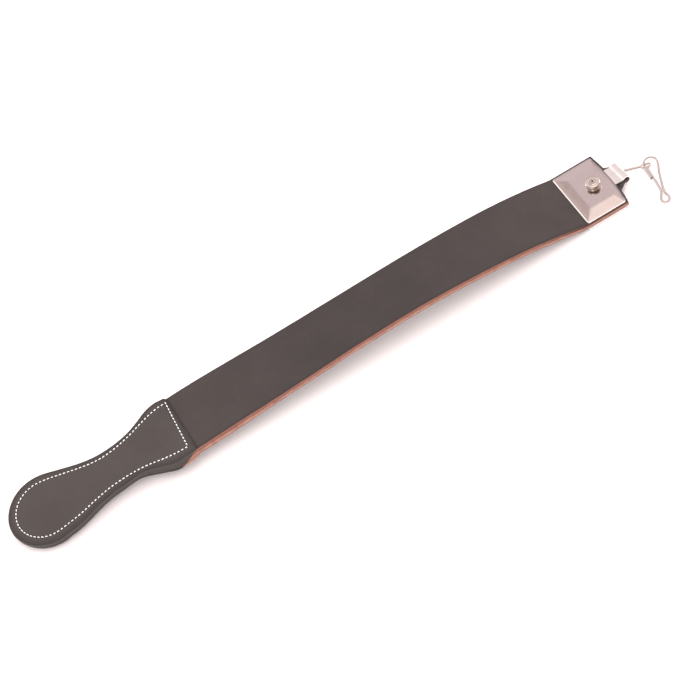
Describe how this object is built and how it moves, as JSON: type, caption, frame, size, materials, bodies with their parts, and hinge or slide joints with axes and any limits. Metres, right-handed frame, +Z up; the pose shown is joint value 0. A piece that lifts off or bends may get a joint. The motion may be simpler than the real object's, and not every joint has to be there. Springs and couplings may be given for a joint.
{
  "type": "hanging razor strop",
  "caption": "Hanging leather strop for razors: a strap pair sewn into a paddle-shaped handle, with a bevelled plate clamp, bail, swivel and wire snap hook at the other end.",
  "frame": {"origin": "on the clamp stud's axis, at the flat face of the back clamp plate, which is the plane the strop rests on", "axes": "+X along the strop from the handle to the hook, +Y across the strap, +Z up out of the front face"},
  "size_m": [0.5226, 0.0688, 0.0265],
  "materials": {
    "handle_leather": "smooth matte, dark brown",
    "strap_leather": "smooth matte, dark brown, raw reddish edges",
    "lining_leather": "raw reddish-brown edge",
    "tab_leather": "black, matte",
    "white_thread": "waxed thread",
    "bright_plate": "polished",
    "bright_fitting": "polished",
    "bright_wire": "polished wire"
  },
  "bodies": {
    "clamp": {"clamp_front_plate": "bright_plate", "clamp_back_plate": "bright_plate", "clamp_stud": "bright_fitting", "clamp_washer": "bright_fitting", "clamp_nut": "bright_fitting", "bail": "bright_fitting", "hanger_tab": "tab_leather", "front_strap_clamp_end": "strap_leather", "back_strap_clamp_end": "lining_leather"},
    "strap_upper": {"front_strap_upper": "strap_leather", "back_strap_upper": "lining_leather"},
    "strap_lower": {"front_strap_lower": "strap_leather", "back_strap_lower": "lining_leather"},
    "handle": {"handle_front_cover": "handle_leather", "handle_back_cover": "handle_leather", "handle_front_thread": "white_thread", "handle_back_thread": "white_thread", "front_strap_handle_end": "strap_leather", "back_strap_handle_end": "lining_leather"},
    "swivel_seat": {"swivel_washer": "bright_fitting"},
    "swivel": {"swivel_link": "bright_wire"},
    "hook": {"snap_hook_wire": "bright_wire", "hook_catch": "bright_fitting"},
    "gate": {"snap_hook_gate": "bright_wire"}
  },
  "joints": [
    {"name": "clamp_bend", "type": "hinge", "parent": "clamp", "child": "strap_upper", "pos_m": [-0.03708, 0.0011, 0.00878], "axis": [-0.0012, 1, -0.0052], "range_deg": [-40, 40], "stiffness_Nm_per_rad": 0.3},
    {"name": "strap_bend", "type": "hinge", "parent": "strap_upper", "child": "strap_lower", "pos_m": [-0.17735, 0, 0.02005], "axis": [0.0031, 0.9919, -0.127], "range_deg": [-40, 40], "stiffness_Nm_per_rad": 0.3},
    {"name": "handle_bend", "type": "hinge", "parent": "strap_lower", "child": "handle", "pos_m": [-0.31661, 0, 0.01545], "axis": [0.0003, 1, -0.0059], "range_deg": [-40, 40], "stiffness_Nm_per_rad": 0.3},
    {"name": "swivel_yaw", "type": "hinge", "parent": "clamp", "child": "swivel_seat", "pos_m": [0.02524, 0.00176, 0.0051], "axis": [0, 0, 1], "range_deg": [-5, 49]},
    {"name": "swivel_spin", "type": "hinge", "parent": "swivel_seat", "child": "swivel", "pos_m": [0.02524, 0.00176, 0.0051], "axis": [0.9474, -0.3078, -0.0872], "continuous": true},
    {"name": "hook_swing", "type": "hinge", "parent": "swivel", "child": "hook", "pos_m": [0.0447, -0.0032, 0.00385], "axis": [-0.0217, -0.0853, 0.9961], "range_deg": [-10, 140]},
    {"name": "gate_open", "type": "hinge", "parent": "hook", "child": "gate", "pos_m": [0.03723, -0.02864, 0.00151], "axis": [-0.0217, -0.0853, 0.9961], "range_deg": [-9, 0], "stiffness_Nm_per_rad": 0.05}
  ]
}
